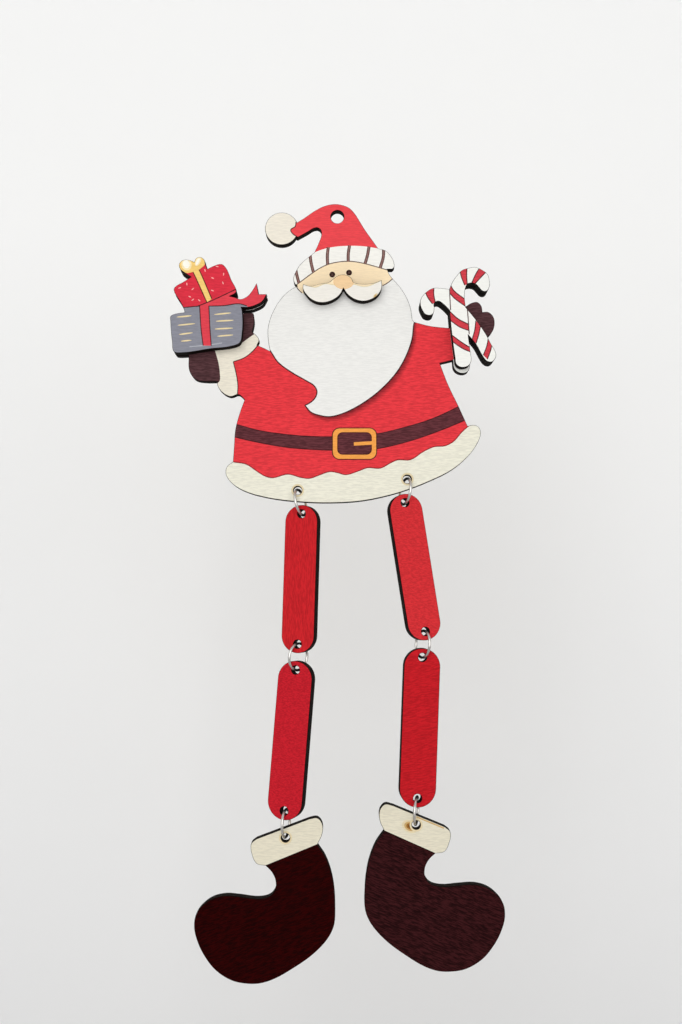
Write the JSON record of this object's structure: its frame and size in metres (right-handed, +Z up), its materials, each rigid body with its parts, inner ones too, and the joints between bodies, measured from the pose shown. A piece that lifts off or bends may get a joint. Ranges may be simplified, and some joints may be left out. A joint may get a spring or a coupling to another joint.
{
  "type": "hanging board figure with dangling legs",
  "caption": "Flat printed plywood figure in a red coat, hung by a hole in its hat, with upper legs, lower legs and boots that dangle on split wire rings.",
  "frame": {"origin": "centre of the hang hole in the hat, halfway through the board", "axes": "+Z up the hanging figure, +X to the viewer's right, +Y from the printed front to the back"},
  "size_m": [0.0976, 0.0087, 0.228],
  "materials": {
    "figure_print": "matt print on laser-cut birch plywood, with charred edges",
    "moustache_print": "matt print on laser-cut birch plywood, with charred edges",
    "gift_print": "matt print on laser-cut birch plywood, with charred edges",
    "cane_print": "matt print on laser-cut birch plywood, with charred edges",
    "leg_print": "matt print on laser-cut birch plywood, with charred edges",
    "boot_print": "matt print on laser-cut birch plywood, with charred edges",
    "ring_steel": "bright drawn steel wire"
  },
  "bodies": {
    "figure": {"figure_board": "figure_print", "moustache": "moustache_print", "gift_stack": "gift_print", "candy_canes": "cane_print"},
    "left_hip_ring": {"left_hip_ring": "ring_steel"},
    "left_upper_leg": {"left_upper_leg": "leg_print"},
    "left_knee_ring": {"left_knee_ring": "ring_steel"},
    "left_lower_leg": {"left_lower_leg": "leg_print"},
    "left_ankle_ring": {"left_ankle_ring": "ring_steel"},
    "left_boot": {"left_boot": "boot_print"},
    "right_hip_ring": {"right_hip_ring": "ring_steel"},
    "right_upper_leg": {"right_upper_leg": "leg_print"},
    "right_knee_ring": {"right_knee_ring": "ring_steel"},
    "right_lower_leg": {"right_lower_leg": "leg_print"},
    "right_ankle_ring": {"right_ankle_ring": "ring_steel"},
    "right_boot": {"right_boot": "boot_print"}
  },
  "joints": [
    {"name": "left_hip_swing", "type": "hinge", "parent": "figure", "child": "left_hip_ring", "pos_m": [-0.01169, 0, -0.08297], "axis": [0, 1, 0], "range_deg": [-2.5, 22]},
    {"name": "left_hip_fold", "type": "hinge", "parent": "left_hip_ring", "child": "left_upper_leg", "pos_m": [-0.0109, 0, -0.08643], "axis": [-0.9178, 0.3358, -0.2119], "range_deg": [-18, 24]},
    {"name": "left_knee_swing", "type": "hinge", "parent": "left_upper_leg", "child": "left_knee_ring", "pos_m": [-0.01116, 0, -0.12808], "axis": [0.3069, 0.9517, -0.0086], "range_deg": [-4, 40]},
    {"name": "left_knee_fold", "type": "hinge", "parent": "left_knee_ring", "child": "left_lower_leg", "pos_m": [-0.01142, 0, -0.13182], "axis": [0.7726, -0.6326, -0.054], "range_deg": [-55, 55]},
    {"name": "left_ankle_swing", "type": "hinge", "parent": "left_lower_leg", "child": "left_ankle_ring", "pos_m": [-0.01486, 0, -0.17583], "axis": [0.306, 0.9517, -0.0241], "range_deg": [-10, 35]},
    {"name": "left_ankle_fold", "type": "hinge", "parent": "left_ankle_ring", "child": "left_boot", "pos_m": [-0.01486, 0, -0.17958], "axis": [-0.9741, 0.2263, 0], "range_deg": [-40, 40]},
    {"name": "right_hip_swing", "type": "hinge", "parent": "figure", "child": "right_hip_ring", "pos_m": [0.02069, 0, -0.07962], "axis": [0, 1, 0], "range_deg": [-22, 2.5]},
    {"name": "right_hip_fold", "type": "hinge", "parent": "right_hip_ring", "child": "right_upper_leg", "pos_m": [0.02016, 0, -0.08313], "axis": [-0.9316, -0.3358, 0.1392], "range_deg": [-18, 24]},
    {"name": "right_knee_swing", "type": "hinge", "parent": "right_upper_leg", "child": "right_knee_ring", "pos_m": [0.02542, 0, -0.1244], "axis": [-0.242, 0.9696, -0.037], "range_deg": [-40, 4]},
    {"name": "right_knee_fold", "type": "hinge", "parent": "right_knee_ring", "child": "right_lower_leg", "pos_m": [0.02509, 0, -0.12814], "axis": [0.8941, 0.4409, -0.0782], "range_deg": [-55, 55]},
    {"name": "right_ankle_swing", "type": "hinge", "parent": "right_lower_leg", "child": "right_ankle_ring", "pos_m": [0.02307, 0, -0.17224], "axis": [-0.076, 0.9971, 0.0032], "range_deg": [-35, 10]},
    {"name": "right_ankle_fold", "type": "hinge", "parent": "right_ankle_ring", "child": "right_boot", "pos_m": [0.02291, 0, -0.17598], "axis": [-0.9773, 0.2078, 0.0427], "range_deg": [-40, 40]}
  ]
}
